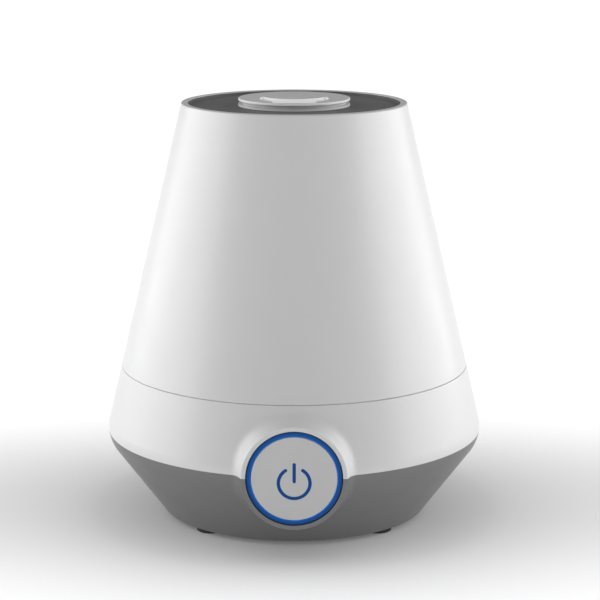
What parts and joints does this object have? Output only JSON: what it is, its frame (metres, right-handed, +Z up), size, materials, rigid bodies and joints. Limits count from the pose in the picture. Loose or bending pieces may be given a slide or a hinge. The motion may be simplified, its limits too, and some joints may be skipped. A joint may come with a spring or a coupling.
{
  "type": "essential oil diffuser",
  "caption": "Tabletop ultrasonic oil diffuser: conical white tank lifts off a two-tone base with round lit button and turning mist nozzle.",
  "frame": {"origin": "on the floor under the body's axis", "axes": "+Z up along the body's axis, button faces -Y"},
  "size_m": [0.1994, 0.2013, 0.2221],
  "materials": {
    "white_plastic": "satin gloss moulded ABS",
    "grey_plastic": "satin moulded ABS",
    "dark_plate": "fine matt",
    "nozzle_plastic": "satin",
    "button_plastic": "satin silver-grey",
    "icon_blue": "printed inlay",
    "ring_glow": "lit translucent ring",
    "inner_plastic": "plain moulded",
    "clear_grey": "moulded polypropylene",
    "rubber_dark": "moulded",
    "silicone": "translucent silicone",
    "steel": "machine screw",
    "spring_steel": "drawn wire",
    "fan_black": "glass filled",
    "board_green": "solder mask",
    "sink_alu": "extruded",
    "component_dark": "epoxy",
    "piezo_ceramic": "glazed disc",
    "foam_grey": "open cell foam",
    "felt_white": "felt",
    "contact_brass": "plated"
  },
  "bodies": {
    "base": {"lower_shell": "grey_plastic", "upper_shell": "white_plastic", "water_basin": "inner_plastic", "air_collar": "inner_plastic", "transducer_seal": "silicone", "transducer_disc": "piezo_ceramic", "transducer_retainer": "inner_plastic", "float_clip": "inner_plastic", "tank_gasket": "silicone", "fan_frame": "fan_black", "air_duct": "inner_plastic", "intake_filter": "foam_grey", "main_board": "board_green", "heat_sink": "sink_alu", "driver_coil": "component_dark", "capacitor": "sink_alu", "control_chip": "component_dark", "board_screw_1": "steel", "board_screw_2": "steel", "board_screw_3": "steel", "board_screw_4": "steel", "case_screw_1": "steel", "case_screw_2": "steel", "case_screw_3": "steel", "case_screw_4": "steel", "foot_1": "rubber_dark", "foot_2": "rubber_dark", "foot_3": "rubber_dark", "foot_4": "rubber_dark", "light_ring": "ring_glow", "button_guide": "inner_plastic", "board_spacer": "inner_plastic", "button_board": "board_green", "tact_switch": "component_dark", "drawer_housing": "inner_plastic", "power_jack": "component_dark", "jack_pin": "contact_brass"},
    "tank": {"tank_shell": "white_plastic", "tank_floor": "clear_grey", "chimney_tube": "clear_grey", "chimney_seal": "silicone", "top_plate": "dark_plate"},
    "nozzle_seat": {"nozzle_ring": "nozzle_plastic"},
    "nozzle": {"nozzle_disc": "nozzle_plastic"},
    "cap": {"fill_cap": "inner_plastic", "cap_seal": "silicone", "valve_spring": "spring_steel"},
    "valve": {"valve_stem": "inner_plastic", "valve_seal": "silicone"},
    "button": {"button_cap": "button_plastic", "icon_ring": "icon_blue", "icon_bar": "icon_blue"},
    "fan": {"fan_impeller": "fan_black"},
    "float": {"float_ring": "inner_plastic", "float_magnet": "component_dark"},
    "drawer": {"aroma_drawer": "grey_plastic", "aroma_pad": "felt_white"}
  },
  "joints": [
    {"name": "tank_lift", "type": "slide", "parent": "base", "child": "tank", "axis": [0, 0, 1], "range_m": [0, 0.12]},
    {"name": "nozzle_lift", "type": "slide", "parent": "tank", "child": "nozzle_seat", "axis": [0, 0, 1], "range_m": [0, 0.03]},
    {"name": "nozzle_turn", "type": "hinge", "parent": "nozzle_seat", "child": "nozzle", "pos_m": [0, 0, 0.2205], "axis": [0, 0, 1], "continuous": true},
    {"name": "cap_turn", "type": "hinge", "parent": "tank", "child": "cap", "pos_m": [-0.046, 0, 0.083], "axis": [0, 0, 1], "range_deg": [0, 70]},
    {"name": "valve_open", "type": "slide", "parent": "cap", "child": "valve", "axis": [0, 0, 1], "range_m": [0, 0.004], "stiffness_N_per_m": 120, "springref_m": -0.002, "deforming": ["valve_spring"]},
    {"name": "button_press", "type": "slide", "parent": "base", "child": "button", "axis": [0, 1, 0], "range_m": [0, 0.0012], "stiffness_N_per_m": 1500, "springref_m": -0.0003},
    {"name": "fan_spin", "type": "hinge", "parent": "base", "child": "fan", "pos_m": [0, 0.03, 0.0135], "axis": [0, 0, 1], "continuous": true},
    {"name": "float_rise", "type": "slide", "parent": "base", "child": "float", "axis": [0, 0, 1], "range_m": [0, 0.005]},
    {"name": "drawer_slide", "type": "slide", "parent": "base", "child": "drawer", "axis": [0, 1, 0], "range_m": [0, 0.018]}
  ]
}
